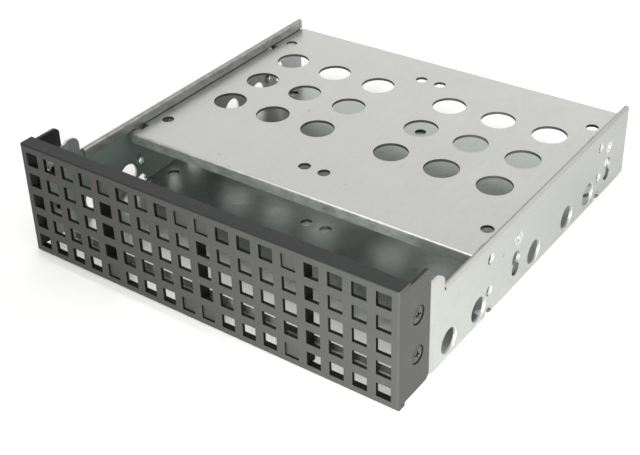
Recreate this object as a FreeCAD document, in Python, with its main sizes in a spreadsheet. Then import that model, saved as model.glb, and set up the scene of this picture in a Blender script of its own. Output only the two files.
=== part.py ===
import FreeCAD, Part
import Sketcher
import os

# Drive-bay mounting bracket: galvanised tray, perforated upper shelf and a
# black moulded front panel with a grid of square openings.
# Frame: X to the right, Y from the front panel to the open rear, Z up.
# The origin is the middle of the footprint, on the surface it stands on.

V = FreeCAD.Vector
doc = FreeCAD.newDocument("bay_bracket")
sheet = doc.addObject("Spreadsheet::Sheet", "Dims")

# ------------------------------------------------------------------ sizes, mm
SIZES = [
    ("overall_depth", 154.0),
    # front panel
    ("bezel_width", 146.0), ("bezel_height", 42.0), ("bezel_wall", 1.2),
    ("top_flange_depth", 5.4), ("bottom_flange_depth", 3.4),
    ("side_flange_depth", 16.4), ("side_flange_inset", 1.3),
    ("side_flange_corner", 2.0), ("bezel_edge_radius", 0.7),
    ("grid_hole", 5.0), ("grid_pitch", 8.0), ("grid_margin", 2.5),
    ("grid_columns", 18), ("grid_rows", 5),
    ("rib_wall", 1.2), ("rib_depth", 5.3), ("rib_pitch", 40.0),
    ("fill_recess", 0.75), ("fan_pitch", 32.0),
    ("peg_radius", 1.4), ("peg_reach", 8.7), ("peg_tip_radius", 0.5),
    # bezel screws
    ("screw_from_front", 10.0), ("screw_low", 14.0), ("screw_high", 28.0),
    ("screw_shank_radius", 1.46), ("screw_hole_radius", 1.52),
    ("screw_head_radius", 2.65), ("screw_head_depth", 1.08), ("screw_dome", 0.22),
    ("screw_length", 5.4), ("screw_seat_radius", 3.10), ("screw_seat_depth", 1.14),
    ("screw_sink", 0.06),
    ("screw_collar_radius", 2.5), ("screw_collar_length", 1.2),
    ("cross_length", 2.9), ("cross_width", 0.70), ("cross_depth", 0.80),
    # tray
    ("sheet_gauge", 1.0), ("bend_outer", 1.5), ("bend_inner", 0.5),
    ("tray_half", 72.9), ("tab_half", 71.75), ("wall_height", 28.0),
    ("hem_height", 3.8), ("hem_radius", 0.95),
    ("tab_height", 34.0), ("tab_front", 4.2), ("joggle_front", 16.8),
    ("joggle_rear", 19.2), ("tab_rear", 24.4), ("hem_front", 25.5),
    ("notch_low", 27.3), ("tab_corner", 3.6), ("tab_clear", 1.8),
    ("floor_front", 11.5), ("lip_height", 3.4), ("lip_half", 66.0),
    ("lip_bend_run", 14.0), ("relief_gap", 0.5),
    # bay screw holes in the walls
    ("bay_from_front", 52.3), ("bay_pitch_long", 79.25), ("bay_low", 10.0),
    ("bay_pitch_high", 11.84), ("bay_hole_radius", 1.25),
    ("bay_collar_radius", 2.1), ("bay_collar_length", 0.8), ("bay_rim", 0.65),
    ("foot_hole_radius", 2.2), ("foot_hole_rise", 1.6), ("foot_hole_half", 70.4),
    # round wall openings
    ("vent_radius", 4.25), ("vent_rise", 6.8), ("vent_rim", 0.25),
    ("vent_a", 28.0), ("vent_b", 45.8), ("vent_c", 82.5), ("vent_d", 106.8),
    ("vent_e", 123.4),
    # double slots under the rivets
    ("lobe_low_radius", 2.4), ("lobe_high_radius", 2.6), ("lobe_low", 7.8),
    ("lobe_high", 11.9), ("lobe_front", 69.6), ("lobe_rear", 138.6),
    # rivets
    ("rivet_front", 70.6), ("rivet_rear", 138.8), ("rivet_rise", 18.6),
    ("rivet_shank_radius", 1.50), ("rivet_hole_radius", 1.53),
    ("rivet_head_radius", 2.35), ("rivet_seat_radius", 2.95),
    ("rivet_head_depth", 0.75), ("rivet_proud", 0.10), ("rivet_bore_radius", 0.85),
    ("rivet_bore_depth", 0.60),
    ("rivet_tail_radius", 2.1), ("rivet_tail_length", 0.8),
    # upper shelf
    ("plate_top", 24.0), ("plate_front", 47.9), ("plate_half", 71.8),
    ("plate_corner_half", 70.4), ("plate_narrow_half", 68.6),
    ("plate_lip_height", 4.0), ("plate_lip_run", 50.6), ("corner_rear", 51.6),
    ("plate_lip_bend_outer", 0.8), ("plate_lip_bend_inner", 0.2),
    ("flange_low", 15.0), ("flange_front", 56.0), ("notch_front", 129.5),
    ("notch_rear", 134.5),
    ("vent_hole_radius", 6.2), ("vent_x_a", 15.5), ("vent_x_pitch", 20.0),
    ("vent_y_a", 86.8), ("vent_y_pitch", 20.0),
    # drive patterns on shelf and floor
    ("drive_inner", 4.0), ("drive_pitch_wide", 61.72),
    ("drive_front", 63.0), ("drive_pitch_long", 76.6),
    ("plate_drive_radius", 2.2), ("floor_drive_radius", 2.2),
]
VALUE = {}
for row, (alias, number) in enumerate(SIZES, start=1):
    cell = "B%d" % row
    sheet.set("A%d" % row, alias)
    sheet.set(cell, "%g" % number)
    sheet.setAlias(cell, alias)
    VALUE[alias] = float(number)
doc.recompute()


class Q:
    """A number and the sheet formula that gives it."""

    def __init__(self, value, text):
        self.value, self.text = float(value), text

    @staticmethod
    def of(other):
        return other if isinstance(other, Q) else Q(other, "%.6g" % other)

    def __add__(self, o):
        o = Q.of(o)
        return Q(self.value + o.value, "(%s + %s)" % (self.text, o.text))

    def __radd__(self, o):
        return Q.of(o) + self

    def __sub__(self, o):
        o = Q.of(o)
        return Q(self.value - o.value, "(%s - %s)" % (self.text, o.text))

    def __rsub__(self, o):
        return Q.of(o) - self

    def __mul__(self, o):
        o = Q.of(o)
        return Q(self.value * o.value, "(%s * %s)" % (self.text, o.text))

    def __rmul__(self, o):
        return Q.of(o) * self

    def __truediv__(self, o):
        o = Q.of(o)
        return Q(self.value / o.value, "(%s / %s)" % (self.text, o.text))

    def __neg__(self):
        return Q(-self.value, "(0 - %s)" % self.text)


def d(alias):
    return Q(VALUE[alias], "Dims." + alias)


HALF_DEPTH = d("overall_depth") / 2


def back(distance):
    """Y of a point that lies this far behind the front face."""
    return (d(distance) if isinstance(distance, str) else Q.of(distance)) - HALF_DEPTH


# ------------------------------------------------------------- sketch helpers
def new_body(name):
    body = doc.addObject("PartDesign::Body", name)
    body.Label = name
    return body


def plane_of(body, role):
    return [f for f in body.Origin.OriginFeatures if f.Role == role][0]


def new_sketch(body, name, role, offset=None):
    sk = body.newObject("Sketcher::SketchObject", name)
    sk.AttachmentSupport = [(plane_of(body, role), "")]
    sk.MapMode = "FlatFace"
    if offset is not None:
        sk.AttachmentOffset = FreeCAD.Placement(V(0, 0, offset.value), FreeCAD.Rotation())
        sk.setExpression("AttachmentOffset.Base.z", offset.text)
    return sk


def datum(sk, q, *args):
    i = sk.addConstraint(Sketcher.Constraint(*(args + (q.value,))))
    sk.setExpression("Constraints[%d]" % i, q.text)


def rectilinear(sk, points, radii=None):
    """Closed outline of upright and level lines; radii rounds its corners."""
    pts = [(Q.of(a), Q.of(b)) for a, b in points]
    n = len(pts)
    radii = radii or {}
    xy = [V(a.value, b.value, 0) for a, b in pts]

    def unit(i, j):
        v = xy[j] - xy[i]
        v.normalize()
        return v

    start, end = [], []
    for i in range(n):
        ahead, behind = unit(i, (i + 1) % n), unit(i, (i - 1) % n)
        r = radii[i].value if i in radii else 0.0
        start.append(xy[i] + ahead * r)
        end.append(xy[i] + behind * r)
    lines = []
    for i in range(n):
        j = (i + 1) % n
        g = sk.addGeometry(Part.LineSegment(start[i], end[j]), False)
        level = abs(xy[i].y - xy[j].y) < 1e-9
        sk.addConstraint(Sketcher.Constraint("Horizontal" if level else "Vertical", g))
        if level:
            datum(sk, pts[i][1], "DistanceY", -1, 1, g, 1)
        else:
            datum(sk, pts[i][0], "DistanceX", -1, 1, g, 1)
        lines.append(g)
    for i in range(n):
        prev, cur = lines[i - 1], lines[i]
        if i in radii:
            r = radii[i]
            ahead, behind = unit(i, (i + 1) % n), unit(i, (i - 1) % n)
            c = xy[i] + (ahead + behind) * r.value
            mid = c - (ahead + behind).normalize() * r.value
            g = sk.addGeometry(Part.Arc(end[i], mid, start[i]), False)
            a, b = sk.getPoint(g, 1), sk.getPoint(g, 2)
            first, last = (1, 2) if (a - end[i]).Length < (b - end[i]).Length else (2, 1)
            sk.addConstraint(Sketcher.Constraint("Tangent", prev, 2, g, first))
            sk.addConstraint(Sketcher.Constraint("Tangent", g, last, cur, 1))
            datum(sk, r, "Radius", g)
        else:
            sk.addConstraint(Sketcher.Constraint("Coincident", prev, 2, cur, 1))


def rectangle(sk, x0, y0, x1, y1):
    rectilinear(sk, [(x0, y0), (x1, y0), (x1, y1), (x0, y1)])


def outline(sk, points):
    """Closed outline of straight lines, every corner placed from the origin."""
    pts = [(Q.of(a), Q.of(b)) for a, b in points]
    n = len(pts)
    gs = []
    for i in range(n):
        a, b = pts[i], pts[(i + 1) % n]
        gs.append(sk.addGeometry(Part.LineSegment(V(a[0].value, a[1].value, 0),
                                                  V(b[0].value, b[1].value, 0)), False))
    for i in range(n):
        sk.addConstraint(Sketcher.Constraint("Coincident", gs[i - 1], 2, gs[i], 1))
        for axis, q in (("DistanceX", pts[i][0]), ("DistanceY", pts[i][1])):
            datum(sk, q, axis, -1, 1, gs[i], 1)


def circle(sk, x, y, r):
    x, y = Q.of(x), Q.of(y)
    g = sk.addGeometry(Part.Circle(V(x.value, y.value, 0), V(0, 0, 1), r.value), False)
    datum(sk, r, "Radius", g)
    datum(sk, x, "DistanceX", -1, 1, g, 3)
    datum(sk, y, "DistanceY", -1, 1, g, 3)


def pad(body, sk, length, name, back_side=False, both=False):
    f = body.newObject("PartDesign::Pad", name)
    f.Profile = sk
    f.Length = length.value
    f.setExpression("Length", length.text)
    f.Reversed = back_side
    f.Midplane = both
    doc.recompute()
    return f


def pocket(body, sk, name, length=None, back_side=False, both=False):
    f = body.newObject("PartDesign::Pocket", name)
    f.Profile = sk
    if length is None:
        f.Type = "ThroughAll"
    else:
        f.Length = length.value
        f.setExpression("Length", length.text)
    f.Reversed = back_side
    f.Midplane = both
    before = body.Shape.Volume
    doc.recompute()
    if body.Shape.Volume >= before - 1e-6:
        raise RuntimeError("pocket %s removes nothing" % name)
    return f


def cone(body, kind, name, r1, r2, height, place):
    f = body.newObject("PartDesign::" + kind, name)
    for prop, q in (("Radius1", r1), ("Radius2", r2), ("Height", height)):
        setattr(f, prop, q.value)
        f.setExpression(prop, q.text)
    base, rotation = place
    base = [Q.of(b) for b in base]
    f.Placement = FreeCAD.Placement(V(*[b.value for b in base]), rotation)
    for axis, q in zip("xyz", base):
        f.setExpression("Placement.Base." + axis, q.text)
    doc.recompute()
    return f


def dress(body, kind, name, prop, size, wanted):
    """Treat the edges of the body's last feature that the test picks out."""
    tip = body.Tip
    picked = ["Edge%d" % i for i, e in enumerate(tip.Shape.Edges, start=1) if wanted(e)]
    if not picked:
        raise RuntimeError("%s finds no edge" % name)
    f = body.newObject("PartDesign::" + kind, name)
    f.Base = (tip, picked)
    setattr(f, prop, size.value)
    f.setExpression(prop, size.text)
    doc.recompute()
    return f


def fillet(body, name, radius, wanted):
    return dress(body, "Fillet", name, "Radius", radius, wanted)


def chamfer(body, name, size, wanted):
    return dress(body, "Chamfer", name, "Size", size, wanted)


def near(a, b, tol=1e-3):
    return abs(a - b) < tol


def box_of(e):
    return e.BoundBox


def mirrored(body, name, feature):
    f = body.newObject("PartDesign::Mirrored", name)
    f.Originals = [feature]
    f.MirrorPlane = (plane_of(body, "YZ_Plane"), [""])
    body.Tip = f
    doc.recompute()
    return f


TURN_IN = FreeCAD.Rotation(V(0, 1, 0), -90)      # local +Z points to -X
TURN_OUT = FreeCAD.Rotation(V(0, 1, 0), 90)      # local +Z points to +X
FLAT = FreeCAD.Rotation()
t = d("sheet_gauge")

# ---------------------------------------------------------------- front panel
bezel = new_body("front_bezel")
wide, tall, wall = d("bezel_width") / 2, d("bezel_height"), d("bezel_wall")
front_plane = HALF_DEPTH

sk = new_sketch(bezel, "bezel_face", "XZ_Plane", front_plane)
rectangle(sk, -wide, 0, wide, tall)
pad(bezel, sk, wall, "bezel_face_pad", back_side=True)

sk = new_sketch(bezel, "bezel_top_flange", "XZ_Plane", front_plane)
rectangle(sk, -wide, tall - wall, wide, tall)
pad(bezel, sk, d("top_flange_depth"), "bezel_top_flange_pad", back_side=True)

sk = new_sketch(bezel, "bezel_bottom_flange", "XZ_Plane", front_plane)
rectangle(sk, -wide, 0, wide, wall)
pad(bezel, sk, d("bottom_flange_depth"), "bezel_bottom_flange_pad", back_side=True)

inset = d("side_flange_inset")
sk = new_sketch(bezel, "bezel_side_flanges", "XZ_Plane", front_plane)
rectangle(sk, wide - wall, inset, wide, tall - inset)
rectangle(sk, -wide, inset, -wide + wall, tall - inset)
pad(bezel, sk, d("side_flange_depth"), "bezel_side_flange_pad", back_side=True)

# upright ribs that part the two fan seats
half_rib = d("rib_wall") / 2
sk = new_sketch(bezel, "bezel_ribs", "XZ_Plane", front_plane)
for x in (-d("rib_pitch"), Q(0.0, "0"), d("rib_pitch")):
    rectangle(sk, x - half_rib, wall / 2, x + half_rib, tall - wall / 2)
pad(bezel, sk, d("rib_depth"), "bezel_rib_pad", back_side=True)

# grid of square openings: one column, repeated across the face
hole, pitch = d("grid_hole"), d("grid_pitch")
x0 = -wide + d("grid_margin")
sk = new_sketch(bezel, "bezel_grid_column", "XZ_Plane", front_plane)
for k in range(int(VALUE["grid_rows"])):
    z0 = d("grid_margin") + pitch * k
    rectangle(sk, x0, z0, x0 + hole, z0 + hole)
column = pocket(bezel, sk, "bezel_grid_pocket", wall)
grid = bezel.newObject("PartDesign::LinearPattern", "bezel_grid")
grid.Originals = [column]
grid.Direction = (plane_of(bezel, "X_Axis"), [""])
grid.Length = VALUE["grid_pitch"] * (VALUE["grid_columns"] - 1)
grid.setExpression("Length", "Dims.grid_pitch * (Dims.grid_columns - 1)")
grid.Occurrences = int(VALUE["grid_columns"])
grid.setExpression("Occurrences", "Dims.grid_columns")
bezel.Tip = grid
doc.recompute()

# eight openings at the corners of the fan seats are closed, and each carries a
# peg behind it that enters a corner hole of a fan
centres = []
for side in (-1, 1):
    for k in (-1, 1):
        centres.append(d("rib_pitch") * (side * 0.5) + d("fan_pitch") * (k * 0.5))
low_row = d("grid_margin") + hole / 2
high_row = low_row + d("fan_pitch")
sk = new_sketch(bezel, "bezel_fills", "XZ_Plane", front_plane - d("fill_recess"))
for x in centres:
    for z in (low_row, high_row):
        rectangle(sk, x - hole / 2, z - hole / 2, x + hole / 2, z + hole / 2)
pad(bezel, sk, wall - d("fill_recess"), "bezel_fill_pad", back_side=True)
sk = new_sketch(bezel, "bezel_pegs", "XZ_Plane", front_plane - wall)
for x in centres:
    for z in (low_row, high_row):
        circle(sk, x, z, d("peg_radius"))
pad(bezel, sk, d("peg_reach") - wall, "bezel_peg_pad", back_side=True)
peg_y = back("peg_reach").value
fillet(bezel, "bezel_peg_tips", d("peg_tip_radius"),
       lambda e: near(box_of(e).YMin, peg_y) and near(box_of(e).YMax, peg_y))

# countersunk screw holes in the side flanges
screw_y = back("screw_from_front")
sk = new_sketch(bezel, "bezel_screw_holes", "YZ_Plane")
for z in (d("screw_low"), d("screw_high")):
    circle(sk, screw_y, z, d("screw_hole_radius"))
pocket(bezel, sk, "bezel_screw_pocket", both=True)
for z, tag in ((d("screw_low"), "lower"), (d("screw_high"), "upper")):
    cone(bezel, "SubtractiveCone", "bezel_seat_right_" + tag, d("screw_seat_radius"),
         d("screw_hole_radius"), d("screw_seat_depth"), ((wide, screw_y, z), TURN_IN))
    cone(bezel, "SubtractiveCone", "bezel_seat_left_" + tag, d("screw_seat_radius"),
         d("screw_hole_radius"), d("screw_seat_depth"), ((-wide, screw_y, z), TURN_OUT))

# rounded rear corners of the side flanges and rounded front edges
rear_y = back("side_flange_depth").value
fillet(bezel, "bezel_flange_corners", d("side_flange_corner"),
       lambda e: near(box_of(e).YMin, rear_y) and near(box_of(e).YMax, rear_y)
       and near(box_of(e).ZLength, 0) and near(box_of(e).XLength, VALUE["bezel_wall"]))
face_y = -VALUE["overall_depth"] / 2
fillet(bezel, "bezel_front_edges", d("bezel_edge_radius"),
       lambda e: near(box_of(e).YMin, face_y) and near(box_of(e).YMax, face_y)
       and (near(box_of(e).XLength, VALUE["bezel_width"]) or
            near(box_of(e).ZLength, VALUE["bezel_height"])))

# ----------------------------------------------------------------------- tray
tray = new_body("tray")
th, bh = d("tray_half"), d("tab_half")
r_out, r_in = d("bend_outer"), d("bend_inner")


def channel(sk, half, height):
    """Floor and two plain walls, with bent corners."""
    rectilinear(sk, [(-half, height), (-half, 0), (half, 0), (half, height),
                     (half - t, height), (half - t, t), (-half + t, t), (-half + t, height)],
                {1: r_out, 2: r_out, 5: r_in, 6: r_in})


sk = new_sketch(tray, "tray_channel", "XZ_Plane", -back("hem_front"))
top, hem = d("wall_height"), d("hem_height")
rectilinear(sk, [(-th, top), (-th, 0), (th, 0), (th, top),
                 (th - 2 * t, top), (th - 2 * t, top - hem), (th - t, top - hem), (th - t, t),
                 (-th + t, t), (-th + t, top - hem), (-th + 2 * t, top - hem), (-th + 2 * t, top)],
            {0: d("hem_radius"), 1: r_out, 2: r_out, 3: d("hem_radius"), 4: d("hem_radius"),
             7: r_in, 8: r_in, 11: d("hem_radius")})
pad(tray, sk, d("overall_depth") - d("hem_front"), "tray_channel_pad", back_side=True)

sk = new_sketch(tray, "tray_tabs", "XZ_Plane", -back("joggle_rear"))
channel(sk, th, d("tab_height"))
pad(tray, sk, d("hem_front") - d("joggle_rear"), "tray_tab_pad", back_side=True)

wide_section = new_sketch(tray, "tray_joggle_wide", "XZ_Plane", -back("joggle_rear"))
channel(wide_section, th, d("tab_height"))
slim_section = new_sketch(tray, "tray_joggle_slim", "XZ_Plane", -back("joggle_front"))
channel(slim_section, bh, d("tab_height"))
doc.recompute()
loft = tray.newObject("PartDesign::AdditiveLoft", "tray_joggle")
loft.Profile = wide_section
loft.Sections = [slim_section]
loft.Ruled = True
doc.recompute()

sk = new_sketch(tray, "tray_front", "XZ_Plane", -back("joggle_front"))
channel(sk, bh, d("tab_height"))
pad(tray, sk, d("joggle_front") - d("tab_front"), "tray_front_pad")

# the floor stops short of the panel; its middle turns up into a lip
clear, lip = d("bezel_width") / 2 + 2, d("lip_half") + d("relief_gap")
sk = new_sketch(tray, "tray_floor_end", "XY_Plane")
rectilinear(sk, [(-clear, back("tab_front") - 1), (clear, back("tab_front") - 1),
                 (clear, back("floor_front")), (lip, back("floor_front")),
                 (lip, back("lip_bend_run")), (-lip, back("lip_bend_run")),
                 (-lip, back("floor_front")), (-clear, back("floor_front"))])
pocket(tray, sk, "tray_floor_end_pocket", d("tab_clear"), back_side=True)

sk = new_sketch(tray, "tray_lip", "YZ_Plane")
lf, lr = back("floor_front"), back("lip_bend_run")
rectilinear(sk, [(lf, d("lip_height")), (lf, 0), (lr, 0), (lr, t), (lf + t, t),
                 (lf + t, d("lip_height"))], {1: r_out, 4: r_in})
pad(tray, sk, d("lip_half") * 2, "tray_lip_pad", both=True)

# slit between each front tab and the hem, and the tabs' rounded corners
sk = new_sketch(tray, "tray_slit", "YZ_Plane")
rectilinear(sk, [(back("tab_rear"), d("tab_height") + 1), (back("tab_rear"), d("notch_low")),
                 (back("hem_front"), d("notch_low")), (back("hem_front"), d("tab_height") + 1)])
pocket(tray, sk, "tray_slit_pocket", both=True)
tab_z, tab_y = VALUE["tab_height"], back("tab_rear").value
fillet(tray, "tray_tab_rear_corners", d("tab_corner"),
       lambda e: near(box_of(e).ZMin, tab_z) and near(box_of(e).ZMax, tab_z)
       and near(box_of(e).YMin, tab_y) and near(box_of(e).YMax, tab_y))
tab_f = back("tab_front").value
fillet(tray, "tray_tab_front_corners", d("tab_corner"),
       lambda e: near(box_of(e).ZMin, tab_z) and near(box_of(e).ZMax, tab_z)
       and near(box_of(e).YMin, tab_f) and near(box_of(e).YMax, tab_f))

# openings that go through both walls
bay_y = (back("bay_from_front"), back("bay_from_front") + d("bay_pitch_long"))
bay_z = (d("bay_low"), d("bay_low") + d("bay_pitch_high"))
rivet_y = (back("rivet_front"), back("rivet_rear"))
sk = new_sketch(tray, "tray_wall_holes", "YZ_Plane")
for y in bay_y:
    for z in bay_z:
        circle(sk, y, z, d("bay_hole_radius"))
for tag in "abcde":
    circle(sk, back("vent_" + tag), d("vent_rise"), d("vent_radius"))
for y in rivet_y:
    circle(sk, y, d("rivet_rise"), d("rivet_hole_radius"))
for z in (d("screw_low"), d("screw_high")):
    circle(sk, screw_y, z, d("screw_hole_radius"))
for y in (back("lobe_front"), back("lobe_rear")):
    circle(sk, y, d("lobe_low"), d("lobe_low_radius"))
pocket(tray, sk, "tray_wall_hole_pocket", both=True)


def outer_rim(e, radius):
    """A round edge of this radius on the outer face of either wall."""
    b = box_of(e)
    return (near(b.XLength, 0) and near(abs(b.XMin), VALUE["tray_half"])
            and e.Curve.TypeId == "Part::GeomCircle" and near(e.Curve.Radius, radius))


# the punch leaves drawn-in rims on the outside
chamfer(tray, "tray_vent_rims", d("vent_rim"), lambda e: outer_rim(e, VALUE["vent_radius"]))
chamfer(tray, "tray_bay_rims", d("bay_rim"), lambda e: outer_rim(e, VALUE["bay_hole_radius"]))
sk = new_sketch(tray, "tray_upper_lobes", "YZ_Plane")
for y in (back("lobe_front"), back("lobe_rear")):
    circle(sk, y, d("lobe_high"), d("lobe_high_radius"))
pocket(tray, sk, "tray_upper_lobe_pocket", both=True)

# countersinks of the flush rivets
for y, tag in zip(rivet_y, ("front", "rear")):
    cone(tray, "SubtractiveCone", "tray_rivet_seat_right_" + tag, d("rivet_seat_radius"),
         d("rivet_hole_radius"), d("rivet_head_depth"), ((th, y, d("rivet_rise")), TURN_IN))
    cone(tray, "SubtractiveCone", "tray_rivet_seat_left_" + tag, d("rivet_seat_radius"),
         d("rivet_hole_radius"), d("rivet_head_depth"), ((-th, y, d("rivet_rise")), TURN_OUT))

# drawn collars that carry the threads of the bay screws and bezel screws
sk = new_sketch(tray, "tray_bay_collars", "YZ_Plane", th - t - d("bay_collar_length"))
for y in bay_y:
    for z in bay_z:
        circle(sk, y, z, d("bay_collar_radius"))
        circle(sk, y, z, d("bay_hole_radius"))
collar = pad(tray, sk, d("bay_collar_length"), "tray_bay_collar_pad")
mirrored(tray, "tray_bay_collars_left", collar)
sk = new_sketch(tray, "tray_screw_collars", "YZ_Plane", bh - t - d("screw_collar_length"))
for z in (d("screw_low"), d("screw_high")):
    circle(sk, screw_y, z, d("screw_collar_radius"))
    circle(sk, screw_y, z, d("screw_hole_radius"))
collar = pad(tray, sk, d("screw_collar_length"), "tray_screw_collar_pad")
mirrored(tray, "tray_screw_collars_left", collar)

# foot screw holes at the edge of the floor, cut into the bend as well
sk = new_sketch(tray, "tray_foot_notches", "YZ_Plane", th)
for y in bay_y:
    circle(sk, y, d("foot_hole_rise"), d("foot_hole_radius"))
foot = pocket(tray, sk, "tray_foot_notch_pocket", t * 1.5)
mirrored(tray, "tray_foot_notches_left", foot)
sk = new_sketch(tray, "tray_foot_holes", "XY_Plane")
for y in bay_y:
    for x in (-d("foot_hole_half"), d("foot_hole_half")):
        circle(sk, x, y, d("foot_hole_radius"))
pocket(tray, sk, "tray_foot_hole_pocket", t * 1.2, back_side=True)

# screw holes under the lower drives
drive_x = (d("drive_inner"), d("drive_inner") + d("drive_pitch_wide"))
drive_y = (back("drive_front"), back("drive_front") + d("drive_pitch_long"))
sk = new_sketch(tray, "tray_drive_holes", "XY_Plane")
for x in (-drive_x[1], -drive_x[0], drive_x[0], drive_x[1]):
    for y in drive_y:
        circle(sk, x, y, d("floor_drive_radius"))
pocket(tray, sk, "tray_drive_hole_pocket", t * 1.2, back_side=True)

# ---------------------------------------------------------------- upper shelf
plate = new_body("top_plate")
pz, ph, pn = d("plate_top"), d("plate_half"), d("plate_narrow_half")
pf, pr = back("plate_front"), back("plate_lip_run")
pc, corner = d("plate_corner_half"), back("corner_rear")

# front part: a notch on each side parts its corner from the side flange
sk = new_sketch(plate, "plate_front_part", "XY_Plane", pz - t)
rectilinear(sk, [(-pc, pr), (pc, pr), (pc, corner), (pn, corner), (pn, back("flange_front")),
                 (-pn, back("flange_front")), (-pn, corner), (-pc, corner)])
pad(plate, sk, t, "plate_front_pad")


def shelf_section(sk):
    """Flat shelf with both sides turned down along the walls."""
    low = d("flange_low")
    rectilinear(sk, [(-ph, low), (-ph + t, low), (-ph + t, pz - t), (ph - t, pz - t),
                     (ph - t, low), (ph, low), (ph, pz), (-ph, pz)],
                {2: r_in, 3: r_in, 6: r_out, 7: r_out})


sk = new_sketch(plate, "plate_middle_part", "XZ_Plane", -back("flange_front"))
shelf_section(sk)
pad(plate, sk, d("notch_front") - d("flange_front"), "plate_middle_pad", back_side=True)
sk = new_sketch(plate, "plate_notch_part", "XZ_Plane", -back("notch_front"))
rectangle(sk, -pn, pz - t, pn, pz)
pad(plate, sk, d("notch_rear") - d("notch_front"), "plate_notch_pad", back_side=True)
sk = new_sketch(plate, "plate_rear_part", "XZ_Plane", -back("notch_rear"))
shelf_section(sk)
pad(plate, sk, d("overall_depth") - d("notch_rear"), "plate_rear_pad", back_side=True)

sk = new_sketch(plate, "plate_lip", "YZ_Plane")
low = pz - d("plate_lip_height")
rectilinear(sk, [(pf, low), (pf + t, low), (pf + t, pz - t), (pr, pz - t), (pr, pz), (pf, pz)],
            {2: d("plate_lip_bend_inner"), 5: d("plate_lip_bend_outer")})
pad(plate, sk, pc * 2, "plate_lip_pad", both=True)

sk = new_sketch(plate, "plate_vents", "XY_Plane", pz)
for i in range(3):
    for j in range(3):
        circle(sk, d("vent_x_a") + d("vent_x_pitch") * i,
               back("vent_y_a") + d("vent_y_pitch") * j, d("vent_hole_radius"))
for x in drive_x:
    for y in drive_y:
        circle(sk, x, y, d("plate_drive_radius"))
vents = pocket(plate, sk, "plate_vent_pocket", t * 1.5)
mirrored(plate, "plate_vents_left", vents)

sk = new_sketch(plate, "plate_rivet_holes", "YZ_Plane")
for y in rivet_y:
    circle(sk, y, d("rivet_rise"), d("rivet_hole_radius"))
pocket(plate, sk, "plate_rivet_pocket", both=True)

# --------------------------------------------------------------------- rivets
# Turned about X: flush ring-shaped head in its countersink outside, shank through
# wall and flange, upset tail inside.
grip = th - ph + t
for side, sign in (("left", -1), ("right", 1)):
    for where, y in zip(("front", "rear"), rivet_y):
        name = "plate_rivet_%s_%s" % (side, where)
        body = new_body(name)
        sk = new_sketch(body, name + "_profile", "XY_Plane")
        hr, sr, tr = d("rivet_head_radius"), d("rivet_shank_radius"), d("rivet_tail_radius")
        proud, tail = d("rivet_proud"), d("rivet_tail_length")
        bore, deep, head = d("rivet_bore_radius"), d("rivet_bore_depth"), d("rivet_head_depth")
        gap = d("rivet_hole_radius") - sr
        seat, hole_r = d("rivet_seat_radius"), d("rivet_hole_radius")
        rim = gap - head * (seat - hr) / (seat - hole_r)
        outline(sk, [(-deep, 0), (-deep, bore * 0.8), (-proud, bore), (proud * 0.7, bore * 1.25),
                     (proud, bore * 1.7), (proud * 0.7, hr * 0.82), (-proud, hr * 0.95),
                     (rim * 0.7, hr), (rim, hr), (-head + gap, sr), (-grip, sr), (-grip, tr),
                     (-grip - tail * 0.55, tr * 0.92), (-grip - tail, tr * 0.5),
                     (-grip - tail, 0)])
        rev = body.newObject("PartDesign::Revolution", name + "_turned")
        rev.Profile = sk
        rev.ReferenceAxis = (sk, ["H_Axis"])
        rev.Angle = 360
        turn = FreeCAD.Rotation(V(0, 0, 1), 0 if sign > 0 else 180)
        place = (th * sign, y, d("rivet_rise"))
        body.Placement = FreeCAD.Placement(V(*[q.value for q in place]), turn)
        for axis, q in zip("xyz", place):
            body.setExpression("Placement.Base." + axis, q.text)
        doc.recompute()

# --------------------------------------------------------------- bezel screws
for side, sign in (("left", -1), ("right", 1)):
    for where, z in (("lower", d("screw_low")), ("upper", d("screw_high"))):
        name = "bezel_screw_%s_%s" % (side, where)
        body = new_body(name)
        sk = new_sketch(body, name + "_profile", "XY_Plane")
        hr, sr = d("screw_head_radius"), d("screw_shank_radius")
        head, long, dome = d("screw_head_depth"), d("screw_length"), d("screw_dome")
        outline(sk, [(Q(0.0, "0"), 0), (Q(0.0, "0"), hr * 0.25), (-dome * 0.2, hr * 0.52),
                     (-dome * 0.52, hr * 0.78), (-dome, hr), (-head, sr), (-long + sr * 0.4, sr),
                     (-long, sr * 0.6), (-long, 0)])
        rev = body.newObject("PartDesign::Revolution", name + "_turned")
        rev.Profile = sk
        rev.ReferenceAxis = (sk, ["H_Axis"])
        rev.Angle = 360
        doc.recompute()
        half_l, half_w = d("cross_length") / 2, d("cross_width") / 2
        sk = new_sketch(body, name + "_cross", "YZ_Plane")
        rectilinear(sk, [(-half_l, -half_w), (-half_w, -half_w), (-half_w, -half_l),
                         (half_w, -half_l), (half_w, -half_w), (half_l, -half_w),
                         (half_l, half_w), (half_w, half_w), (half_w, half_l),
                         (-half_w, half_l), (-half_w, half_w), (-half_l, half_w)])
        pocket(body, sk, name + "_cross_pocket", d("cross_depth"))
        turn = FreeCAD.Rotation(V(0, 0, 1), 0 if sign > 0 else 180)
        place = ((wide - d("screw_sink")) * sign, screw_y, z)
        body.Placement = FreeCAD.Placement(V(*[q.value for q in place]), turn)
        for axis, q in zip("xyz", place):
            body.setExpression("Placement.Base." + axis, q.text)
        doc.recompute()

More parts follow.
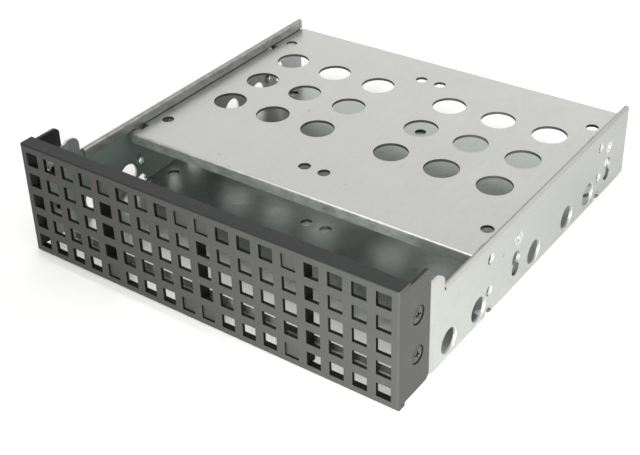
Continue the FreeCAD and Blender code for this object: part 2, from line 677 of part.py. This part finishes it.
# ------------------------------------------------------------- check and write
doc.recompute()
for obj in doc.Objects:
    if "Invalid" in obj.State or "Error" in obj.State:
        raise RuntimeError("%s did not compute: %s" % (obj.Name, obj.State))
nodes = [o for o in doc.Objects if o.TypeId == "PartDesign::Body"]
for node in nodes:
    shape = node.Shape
    if shape.isNull() or not shape.isValid() or len(shape.Solids) != 1:
        raise RuntimeError("%s is not one valid solid" % node.Label)
os.makedirs("parts", exist_ok=True)
for node in nodes:
    node.Shape.exportStep("parts/%s.step" % node.Label)
    b = node.Shape.BoundBox
    print("%-26s vol %9.1f  x %7.2f %7.2f  y %7.2f %7.2f  z %6.2f %6.2f" % (
        node.Label, node.Shape.Volume, b.XMin, b.XMax, b.YMin, b.YMax, b.ZMin, b.ZMax))
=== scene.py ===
import math

import bpy
from mathutils import Matrix, Vector

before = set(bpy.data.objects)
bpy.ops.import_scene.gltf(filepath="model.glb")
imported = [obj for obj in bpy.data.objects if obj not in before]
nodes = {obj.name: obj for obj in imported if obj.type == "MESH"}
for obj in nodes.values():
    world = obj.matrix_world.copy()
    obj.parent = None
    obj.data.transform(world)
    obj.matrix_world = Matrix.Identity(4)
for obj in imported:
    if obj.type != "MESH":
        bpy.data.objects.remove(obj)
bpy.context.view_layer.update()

# Looks of a drive-bay mounting bracket: galvanised tray and shelf, black moulded
# front panel, flush rivets and small black screws, on a plain pale floor.

scene = bpy.context.scene
scene.view_settings.view_transform = "Standard"
scene.view_settings.look = "None"


# ------------------------------------------------------------------ node helpers
class Graph:
    """A short way to write a material's node tree."""

    def __init__(self, name):
        self.material = bpy.data.materials.new(name)
        self.material.use_nodes = True
        self.tree = self.material.node_tree
        self.tree.nodes.clear()
        self.out = self.tree.nodes.new("ShaderNodeOutputMaterial")
        self.shader = self.tree.nodes.new("ShaderNodeBsdfPrincipled")
        self.link(self.shader.outputs["BSDF"], self.out.inputs["Surface"])
        self.coords = self.tree.nodes.new("ShaderNodeTexCoord").outputs["Object"]

    def link(self, a, b):
        self.tree.links.new(a, b)

    def feed(self, socket, value):
        if isinstance(value, bpy.types.NodeSocket):
            self.link(value, socket)
        else:
            socket.default_value = value

    def put(self, name, value):
        self.feed(self.shader.inputs[name], value)

    def stretch(self, scale):
        n = self.tree.nodes.new("ShaderNodeMapping")
        n.inputs["Scale"].default_value = scale
        self.link(self.coords, n.inputs["Vector"])
        return n.outputs["Vector"]

    def noise(self, scale, detail=3.0, rough=0.55, vector=None, distortion=0.0):
        n = self.tree.nodes.new("ShaderNodeTexNoise")
        n.inputs["Scale"].default_value = scale
        n.inputs["Detail"].default_value = detail
        n.inputs["Roughness"].default_value = rough
        n.inputs["Distortion"].default_value = distortion
        self.link(vector or self.coords, n.inputs["Vector"])
        return n.outputs["Fac"]

    def cells(self, scale, feature="F1", output="Distance", randomness=1.0, vector=None):
        n = self.tree.nodes.new("ShaderNodeTexVoronoi")
        n.feature = feature
        n.inputs["Scale"].default_value = scale
        n.inputs["Randomness"].default_value = randomness
        self.link(vector or self.coords, n.inputs["Vector"])
        return n.outputs[output]

    def along(self, axis):
        n = self.tree.nodes.new("ShaderNodeSeparateXYZ")
        self.link(self.coords, n.inputs[0])
        return n.outputs[axis]

    def first(self, colour):
        n = self.tree.nodes.new("ShaderNodeSeparateColor")
        self.link(colour, n.inputs["Color"])
        return n.outputs["Red"]

    def math(self, kind, a, b=0.0, clamp=False):
        n = self.tree.nodes.new("ShaderNodeMath")
        n.operation = kind
        n.use_clamp = clamp
        self.feed(n.inputs[0], a)
        self.feed(n.inputs[1], b)
        return n.outputs[0]

    def span(self, value, a, b, c, d, smooth=False):
        n = self.tree.nodes.new("ShaderNodeMapRange")
        n.interpolation_type = "SMOOTHSTEP" if smooth else "LINEAR"
        n.clamp = True
        self.feed(n.inputs["Value"], value)
        for key, x in zip(("From Min", "From Max", "To Min", "To Max"), (a, b, c, d)):
            n.inputs[key].default_value = x
        return n.outputs["Result"]

    def mix(self, factor, a, b, kind="MIX"):
        n = self.tree.nodes.new("ShaderNodeMix")
        n.data_type = "RGBA"
        n.blend_type = kind
        self.feed(n.inputs[0], factor)
        self.feed(n.inputs[6], a)
        self.feed(n.inputs[7], b)
        return n.outputs[2]

    def tone(self, colour, factor):
        """The colour times a grey factor."""
        n = self.tree.nodes.new("ShaderNodeVectorMath")
        n.operation = "SCALE"
        self.feed(n.inputs[0], colour)
        self.feed(n.inputs["Scale"], factor)
        return n.outputs[0]

    def bump(self, height, strength, distance, under=None):
        n = self.tree.nodes.new("ShaderNodeBump")
        n.inputs["Strength"].default_value = strength
        n.inputs["Distance"].default_value = distance
        self.link(height, n.inputs["Height"])
        if under is not None:
            self.link(under, n.inputs["Normal"])
        return n.outputs["Normal"]

    def soft_edges(self, radius, samples=4):
        n = self.tree.nodes.new("ShaderNodeBevel")
        n.samples = samples
        n.inputs["Radius"].default_value = radius
        return n.outputs["Normal"]

    def edge(self, rounded):
        """1 on a sharp edge, falling to 0 one radius away from it."""
        g = self.tree.nodes.new("ShaderNodeNewGeometry").outputs["Normal"]
        n = self.tree.nodes.new("ShaderNodeVectorMath")
        n.operation = "DOT_PRODUCT"
        self.link(rounded, n.inputs[0])
        self.link(g, n.inputs[1])
        return self.span(n.outputs["Value"], 1.0, 0.80, 0.0, 1.0)


def galvanised(name, tint, rough, relief=0.14, fade=(1.0, 1.0), over=(-0.077, 0.077),
               axis="Y", mottle=0.0, first_tint=None):
    """Zinc-coated sheet: soft clouds, faint spangle cells, fine grain, bright edges.
    The tone may change slowly along one axis of the part (fade, or first_tint to tint); where used, this is
    painted light and shade. Worked edges are mottled."""
    g = Graph(name)
    rounded = g.soft_edges(0.00018)
    edge = g.edge(rounded)
    cloud = g.noise(38.0, 4.0, 0.6)
    spangle = g.first(g.cells(420.0, output="Color"))
    fleck = g.noise(1500.0, 2.0, 0.6)
    grain = g.noise(4200.0, 2.0, 0.5)
    rolled = g.noise(900.0, 2.0, 0.5, vector=g.stretch((1.0, 0.04, 1.0)))
    tone = g.math("MULTIPLY", g.span(cloud, 0.30, 0.70, 0.965, 1.03),
                  g.span(g.along(axis), *over, *fade))
    if mottle:
        blotch = g.noise(430.0, 3.0, 0.65, vector=g.stretch((0.55, 0.55, 1.0)))
        tone = g.math("MULTIPLY", tone, g.span(blotch, 0.30, 0.70, 1.0 - mottle, 1.0 + mottle))
    tone = g.math("MULTIPLY", tone, g.span(spangle, 0.0, 1.0, 0.975, 1.02))
    tone = g.math("MULTIPLY", tone, g.span(fleck, 0.30, 0.70, 0.955, 1.04))
    tone = g.math("MULTIPLY", tone, g.span(rolled, 0.3, 0.7, 0.985, 1.012))
    spots = g.math("MULTIPLY", g.span(g.cells(75.0), 0.035, 0.055, 0.72, 1.0),
                   g.span(g.cells(31.0), 0.012, 0.022, 0.6, 1.0))
    tone = g.math("MULTIPLY", tone, spots)
    tone = g.math("MULTIPLY", tone, g.span(edge, 0.0, 1.0, 1.0, 1.10))
    if first_tint:
        tint = g.mix(g.span(g.along(axis), *over, 0.0, 1.0), (*first_tint, 1.0), (*tint, 1.0))
    g.put("Base Color", g.tone(tint, tone))
    g.put("Metallic", 1.0)
    r = g.span(cloud, 0.3, 0.7, rough - 0.02, rough + 0.02)
    r = g.math("ADD", r, g.span(spangle, 0.0, 1.0, -0.03, 0.03))
    r = g.math("ADD", r, g.span(grain, 0.3, 0.7, -0.04, 0.04))
    g.put("Roughness", r)
    height = g.math("ADD", g.math("MULTIPLY", fleck, 0.7), g.math("MULTIPLY", grain, 0.4))
    height = g.math("ADD", height, g.math("MULTIPLY", spangle, 0.25))
    g.put("Normal", g.bump(height, relief, 0.00003, rounded))
    return g.material


def sheared(name, colour, rough, metal=1.0, shine=0.15, fade=(1.0, 1.0), over=(-0.073, 0.073)):
    """Punched and cut edges of the sheet: duller, rougher, drawn across the thickness; darker copies of it are
    painted shade on hole walls, the right hem and the floor lip.
    The tone may change slowly across the width of the part, painted shade where used."""
    g = Graph(name)
    rounded = g.soft_edges(0.00015)
    grain = g.noise(5200.0, 3.0, 0.6)
    streak = g.noise(1700.0, 2.0, 0.5)
    tone = g.math("MULTIPLY", g.span(streak, 0.3, 0.7, 0.86, 1.10), g.span(grain, 0.3, 0.7, 0.92, 1.06))
    if fade != (1.0, 1.0):
        tone = g.math("MULTIPLY", tone, g.span(g.along("X"), *over, *fade))
    g.put("Base Color", g.tone(colour, tone))
    g.put("Metallic", metal)
    g.put("Specular IOR Level", shine)
    g.put("Roughness", g.math("ADD", g.span(streak, 0.3, 0.7, rough, rough + 0.12), g.span(grain, 0.3, 0.7, -0.05, 0.05)))
    g.put("Normal", g.bump(g.math("ADD", streak, g.math("MULTIPLY", grain, 0.5)), 0.30, 0.00004, rounded))
    return g.material


def black_plastic(name, colour, rough, shine):
    """Matte moulded plastic with a fine spark-eroded grain and slightly rubbed edges."""
    g = Graph(name)
    rounded = g.soft_edges(0.00022)
    edge = g.edge(rounded)
    grain = g.noise(3000.0, 3.0, 0.6)
    pores = g.cells(2600.0)
    cloud = g.noise(30.0, 3.0, 0.6)
    speck = g.span(g.cells(160.0), 0.05, 0.09, 1.5, 1.0)
    tone = g.span(grain, 0.32, 0.68, 0.86, 1.14)
    tone = g.math("MULTIPLY", tone, g.span(cloud, 0.3, 0.7, 0.94, 1.06))
    tone = g.math("MULTIPLY", tone, speck)
    tone = g.math("MULTIPLY", tone, g.span(edge, 0.0, 1.0, 1.0, 1.35))
    g.put("Base Color", g.tone(colour, tone))
    r = g.span(cloud, 0.3, 0.7, rough - 0.04, rough + 0.04)
    r = g.math("ADD", r, g.span(grain, 0.3, 0.7, -0.05, 0.05))
    g.put("Roughness", r)
    g.shader.inputs["IOR"].default_value = 1.50
    g.shader.inputs["Specular IOR Level"].default_value = shine
    height = g.math("ADD", g.math("MULTIPLY", grain, 0.8), g.math("MULTIPLY", pores, 0.5))
    g.put("Normal", g.bump(height, 0.30, 0.00004, rounded))
    return g.material


def bright_rivet(name):
    """Pressed bright steel with fine turned marks round the rivet's axis."""
    g = Graph(name)
    rounded = g.soft_edges(0.00010)
    grain = g.noise(5200.0, 2.0, 0.5)
    smear = g.noise(700.0, 3.0, 0.6)
    tone = g.math("MULTIPLY", g.span(smear, 0.3, 0.7, 0.88, 1.06), g.span(grain, 0.3, 0.7, 0.96, 1.03))
    g.put("Base Color", g.tone((0.52, 0.525, 0.515), tone))
    g.put("Metallic", 1.0)
    g.put("Roughness", g.math("ADD", g.span(smear, 0.3, 0.7, 0.17, 0.27), g.span(grain, 0.3, 0.7, -0.03, 0.03)))
    g.put("Normal", g.bump(g.math("ADD", smear, g.math("MULTIPLY", grain, 0.5)), 0.15, 0.00003, rounded))
    return g.material


def black_screw(name, colour, wear):
    """Black oxide steel, worn bright on the edges of the head and the cross recess."""
    g = Graph(name)
    rounded = g.soft_edges(0.00014)
    edge = g.edge(rounded)
    grain = g.noise(4200.0, 3.0, 0.6)
    smear = g.noise(900.0, 3.0, 0.6)
    worn = g.math("MULTIPLY", edge, g.span(smear, 0.35, 0.6, 0.25, 1.0), clamp=True)
    dark = g.tone(colour, g.span(grain, 0.3, 0.7, 0.8, 1.2))
    g.put("Base Color", g.mix(worn, dark, (wear, wear, wear * 0.97, 1.0)))
    g.put("Metallic", 1.0)
    g.put("Roughness", g.math("ADD", g.span(smear, 0.3, 0.7, 0.26, 0.36), g.span(grain, 0.3, 0.7, -0.04, 0.04)))
    g.put("Normal", g.bump(grain, 0.2, 0.00003, rounded))
    return g.material


def floor_material(name):
    g = Graph(name)
    cloud = g.noise(3.0, 3.0, 0.5)
    fine = g.noise(260.0, 3.0, 0.6)
    tone = g.math("MULTIPLY", g.span(cloud, 0.3, 0.7, 0.99, 1.01), g.span(fine, 0.3, 0.7, 0.995, 1.005))
    g.put("Base Color", g.tone((0.925, 0.952, 0.950), tone))
    g.put("Roughness", g.span(fine, 0.3, 0.7, 0.75, 0.85))
    return g.material


# ------------------------------------------------------------------- finishes, some of them darker or lighter copies that are painted shade and highlights
# painted shade: the inside is lighter in front of the shelf and darker under it (first_tint to tint along Y)
tray_inside = galvanised("galvanised_inside", (0.308, 0.342, 0.330), 0.32, 0.14,
                         over=(-0.044, -0.026), first_tint=(0.450, 0.467, 0.446))
# painted shade colour: the inner wall takes a teal cast towards the front, behind the panel
wall_inside = galvanised("galvanised_wall_inside", (0.372, 0.386, 0.378), 0.52,
                         over=(-0.030, 0.0), first_tint=(0.338, 0.398, 0.382))
# painted light: the outside is lighter at the front and darker towards the rear (fade along Y)
tray_outside = galvanised("galvanised_outside", (0.452, 0.460, 0.447), 0.34, 0.14, (1.05, 0.72))
# painted shade: darker copies of the steel for the left hem and the inner bends between floor and walls; the
# mottle is the sheet's own
tray_hem_painted_shade = galvanised("galvanised_hem_painted_shade", (0.272, 0.282, 0.276), 0.46, 0.60, mottle=0.22)
# painted shade: the left hem's inner side is darker still, lifted towards the front (fade along Y)
hem_inside_painted_shade = galvanised("galvanised_hem_inside_painted_shade", (0.290, 0.300, 0.294), 0.50, 0.60, (1.20, 1.0),
                        (-0.046, -0.020), mottle=0.24)
tab_inside = galvanised("galvanised_tab", (0.385, 0.378, 0.388), 0.52)
shelf_steel = galvanised("galvanised_shelf", (0.402, 0.416, 0.407), 0.34)
# painted light and shade: the shelf's underside is much lighter than its top near the front and falls to dark
# behind (fade along Y)
shelf_under_painted_light_and_shade = galvanised("galvanised_under_painted_light_and_shade", (0.560, 0.575, 0.565), 0.34, 0.14, (1.60, 0.18), (-0.016, 0.030))
shelf_lip = galvanised("galvanised_lip", (0.425, 0.455, 0.443), 0.60, 0.55, mottle=0.20)
# painted highlight: a lighter copy of the steel on the shelf's front bend, brighter towards the right (fade
# along X)
shelf_bend_painted_highlight = galvanised("galvanised_bend_painted_highlight", (0.560, 0.573, 0.565), 0.30, 0.14, (0.62, 1.55),
                        (-0.060, 0.030), axis="X", mottle=0.12)
cut_edge = sheared("sheared_edge", (0.490, 0.500, 0.490), 0.50)
# painted shade: near-black walls in holes, slots and vents
edge_painted_shade = sheared("punched_edge_painted_shade", (0.050, 0.053, 0.051), 0.55, 0.0)
# painted shade: a darker copy of the steel for the right hem's top and inner side
crease_painted_shade = sheared("hem_crease_painted_shade", (0.265, 0.272, 0.264), 0.40)
# painted shade: the floor lip's front face is a near-black, non-metal copy, lighter to the left (fade along X)
lip_painted_shade = sheared("floor_lip_painted_shade", (0.0235, 0.0235, 0.0220), 0.60, 0.0, 0.0, (6.0, 1.25), (-0.012, 0.038))
# the panel's own black on faces seen from outside; the three copies below are darker, painted shade
face_black = black_plastic("moulded_black_face", (0.0325, 0.0338, 0.0325), 0.52, 0.28)
top_black_painted_shade = black_plastic("moulded_black_top_painted_shade", (0.0195, 0.0225, 0.0225), 0.54, 0.17)
inner_black_painted_shade = black_plastic("moulded_black_inner_painted_shade", (0.014, 0.014, 0.015), 0.46, 0.22)
deep_black_painted_shade = black_plastic("moulded_black_openings_painted_shade", (0.0050, 0.0050, 0.0053), 0.55, 0.08)
rivet = bright_rivet("rivet_bright")
screw = black_screw("screw_black_oxide", (0.072, 0.072, 0.070), 0.50)
# painted shade: a near-black copy of the screw finish for the cross recess
recess = black_screw("screw_recess_painted_shade", (0.006, 0.006, 0.006), 0.015)


def tray_look(c, n):
    """Outside and underside, inside, hem, cut edges and creases of the tray; hole walls, the hems' tops and
    inner sides, the floor lip's face and the bends between floor and walls get darker copies of the steel as
    painted shade.
    """
    side = 1.0 if c.x > 0 else -1.0
    out = n.x * side
    # Hems: all but the right hem's outer face take darker copies of the steel, painted shade.
    if c.y > -0.0516 and c.z > 0.0241 and abs(c.x) > 0.0707 and out < 0.93:
        if c.x > 0:
            return 1 if out > 0.03 else 5
        return 8 if out < -0.5 else 2
    # Wall holes and slots: rims facing out or forward take the bare cut edge, the walls behind are near-black
    # painted shade.
    if abs(c.x) > 0.0716 and 0.0016 < c.z < 0.0240 and out < 0.93 and abs(n.x) < 0.9 and c.y > -0.056:
        bay = min(abs(c.y + 0.0247), abs(c.y - 0.05455)) < 0.0019
        lobe = min(abs(c.y + 0.0074), abs(c.y - 0.0616)) < 0.0028 and c.z < 0.0150
        if bay:
            return 3 if out > 0.35 and n.y < 0.2 else 4
        if lobe:
            return 3 if n.y < -0.30 and 0.0088 < c.z else 4
        return 3 if n.y < 0.15 else 1
    # the cut end of the hem is near-black, painted shade
    if -0.0527 < c.y < -0.0514 and c.z > 0.0268 and abs(n.x) < 0.3:
        return 4
    # walls of the floor holes are near-black, painted shade
    if abs(c.x) < 0.0730 and c.z <= 0.0016 and abs(n.z) < 0.3 and c.y > -0.063 and out < 0.3:
        return 4
    # the floor lip's front face: painted shade
    if c.y < -0.0632 and c.z < 0.0033 and n.y < -0.05 and abs(c.x) < 0.0668:
        return 6
    if n.z < -0.4 and c.z < 0.0015:
        return 1
    # inner bends between floor and walls take the darker hem steel, painted shade
    if abs(c.x) > 0.0712 and c.z < 0.0017 and out < -0.1 and n.z > 0.1:
        return 2
    if out < -0.9 and c.z > 0.0017:
        return 9 if c.z > 0.0272 and c.y < -0.0516 else 7
    return 1 if out > 0.5 and abs(c.x) > 0.0710 else 0


def shelf_look(c, n):
    """Flat, vent walls, front lip and its bend, and underside; the vent walls are painted shade, the bend a
    painted highlight, the underside painted light and shade.
    """
    if c.y < -0.0280 and n.y < -0.92:
        return 2
    # the front bend's upward slope takes the lighter bend copy, a painted highlight
    if c.y < -0.0275 and n.y < -0.05 and n.z > 0.05:
        return 3 if -0.86 < n.y < -0.30 else (2 if n.y < -0.5 else 0)
    if c.y < -0.0280 and n.z < -0.9 and c.z < 0.0205:
        return 2
    # vent walls are near-black, painted shade
    if 0.0229 < c.z < 0.0241 and abs(n.z) < 0.3 and abs(c.x) < 0.0685 and -0.0270 < c.y < 0.0765:
        return 1
    # the underside takes the copy with painted light and shade
    return 4 if n.z < -0.9 and c.z > 0.0225 else 0


def panel_look(c, n):
    """Faces seen from outside and the pegs take the panel's own black; the other faces take darker copies of it
    as painted shade: the top, a thin strip along the top front edge, the inner faces, and darkest the opening
    walls and screw seats.
    """
    # painted shade: the top is a darker copy, and a thin strip along the top front edge is darker still, a
    # painted shadow line
    if n.z > 0.4 and c.z > 0.0412:
        return 0 if n.y < -0.25 else 2
    seat = abs(n.x) < 0.95 and min(math.hypot(c.y + 0.067, c.z - h) for h in (0.014, 0.028)) < 0.0032
    outside = ((n.y < -0.4 and c.y < -0.0760) or (n.z < -0.5 and c.z < 0.0005)
               or (abs(n.x) > 0.5 and abs(c.x) > 0.0722 and n.x * c.x > 0 and not seat))
    peg = (-0.0757 < c.y < -0.0680 and min(abs(abs(c.x) - h) for h in (0.004, 0.036)) < 0.0016
           and min(abs(c.z - h) for h in (0.005, 0.037)) < 0.0016)
    if peg:
        return 1
    # painted shade: opening walls and screw seats take the darkest copy, other inner faces a darker one
    if not outside and n.y < 0.5 and (seat or (abs(c.x) < 0.0705 and c.y < -0.0700 and c.z < 0.0405)):
        return 3
    return int(outside)


def screw_look(c, n):
    """The cross recess takes a near-black copy of the screw finish, painted shade."""
    return int(abs(c.x) < 0.0726)


looks = {
    "tray": ((tray_inside, tray_outside, tray_hem_painted_shade, cut_edge, edge_painted_shade, crease_painted_shade, lip_painted_shade,
              wall_inside, hem_inside_painted_shade, tab_inside), tray_look),
    "top_plate": ((shelf_steel, edge_painted_shade, shelf_lip, shelf_bend_painted_highlight, shelf_under_painted_light_and_shade), shelf_look),
    "front_bezel": ((inner_black_painted_shade, face_black, top_black_painted_shade, deep_black_painted_shade), panel_look),
}
for name, obj in nodes.items():
    kind = ((rivet,), None) if name.startswith("plate_rivet") else ((screw, recess), screw_look)
    slots, choose = looks.get(name, kind)
    obj.data.materials.clear()
    for slot in slots:
        obj.data.materials.append(slot)
    for polygon in obj.data.polygons:
        polygon.material_index = choose(polygon.center, polygon.normal) if choose else 0

# ---------------------------------------------------------------------- stage
floor_mesh = bpy.data.meshes.new("floor")
s = 4.0
floor_mesh.from_pydata([(-s, -s, 0), (s, -s, 0), (s, s, 0), (-s, s, 0)], [], [(0, 1, 2, 3)])
floor = bpy.data.objects.new("floor", floor_mesh)
floor.location = (0, 0, -0.0002)
floor_mesh.materials.append(floor_material("pale_floor"))
scene.collection.objects.link(floor)

# ---------------------------------------------------------------------- light
world = bpy.data.worlds.new("studio")
scene.world = world
world.use_nodes = True
wt = world.node_tree
wt.nodes.clear()
w_out = wt.nodes.new("ShaderNodeOutputWorld")
w_bg = wt.nodes.new("ShaderNodeBackground")
w_coord = wt.nodes.new("ShaderNodeTexCoord")
w_sep = wt.nodes.new("ShaderNodeSeparateXYZ")
w_ramp = wt.nodes.new("ShaderNodeValToRGB")
wt.links.new(w_coord.outputs["Generated"], w_sep.inputs[0])
wt.links.new(w_sep.outputs["Z"], w_ramp.inputs["Fac"])
wt.links.new(w_ramp.outputs["Color"], w_bg.inputs["Color"])
wt.links.new(w_bg.outputs["Background"], w_out.inputs["Surface"])
ramp = w_ramp.color_ramp
ramp.elements[0].position = 0.0
ramp.elements[0].color = (1.0, 0.965, 0.95, 1)
ramp.elements[1].position = 1.0
ramp.elements[1].color = (0.41, 0.40, 0.397, 1)
e = ramp.elements.new(0.60)
e.color = (1.0, 0.965, 0.95, 1)
w_bg.inputs["Strength"].default_value = 1.5


def area_light(name, place, aim, size, power, spread=180.0, colour=(1, 1, 1)):
    light = bpy.data.lights.new(name, "AREA")
    light.spread = math.radians(spread)
    light.shape = "RECTANGLE"
    light.size, light.size_y = size
    light.energy = power
    light.color = colour
    obj = bpy.data.objects.new(name, light)
    scene.collection.objects.link(obj)
    obj.location = place
    obj.rotation_mode = "QUATERNION"
    obj.rotation_quaternion = (Vector(aim) - Vector(place)).to_track_quat("-Z", "Y")
    return obj


area_light("key_front", (0.306, -0.513, 0.090), (0.085, -0.070, 0.027), (0.12, 0.08), 0.30, 30.0,
           (1.0, 0.985, 0.94))
area_light("rear_floor", (0.05, 0.30, 0.60), (0.04, 0.13, 0.0), (0.1, 0.1), 0.035, 30.0)
area_light("front_slot", (0.0, -0.045, 0.50), (0.0, -0.071, 0.0), (0.14, 0.01), 0.0029, 10.0,
           (1.0, 1.0, 0.93))

# --------------------------------------------------------------------- camera
camera_data = bpy.data.cameras.new("camera")
camera_data.sensor_fit = "HORIZONTAL"
camera_data.sensor_width = 36.0
camera_data.lens = 67.680
camera_data.shift_x = 0.06
camera_data.shift_y = -0.08
camera_data.clip_start, camera_data.clip_end = 0.01, 50.0
camera = bpy.data.objects.new("camera", camera_data)
right, up, back = (Vector((0.80092, 0.597407, -0.040385)), Vector((-0.283328, 0.437537, 0.853397)),
                   Vector((0.527496, -0.672061, 0.519695)))
place = Vector((0.206388, -0.294948, 0.233846))
camera.matrix_world = Matrix(((right.x, up.x, back.x, place.x), (right.y, up.y, back.y, place.y),
                              (right.z, up.z, back.z, place.z), (0, 0, 0, 1)))
scene.collection.objects.link(camera)
scene.camera = camera
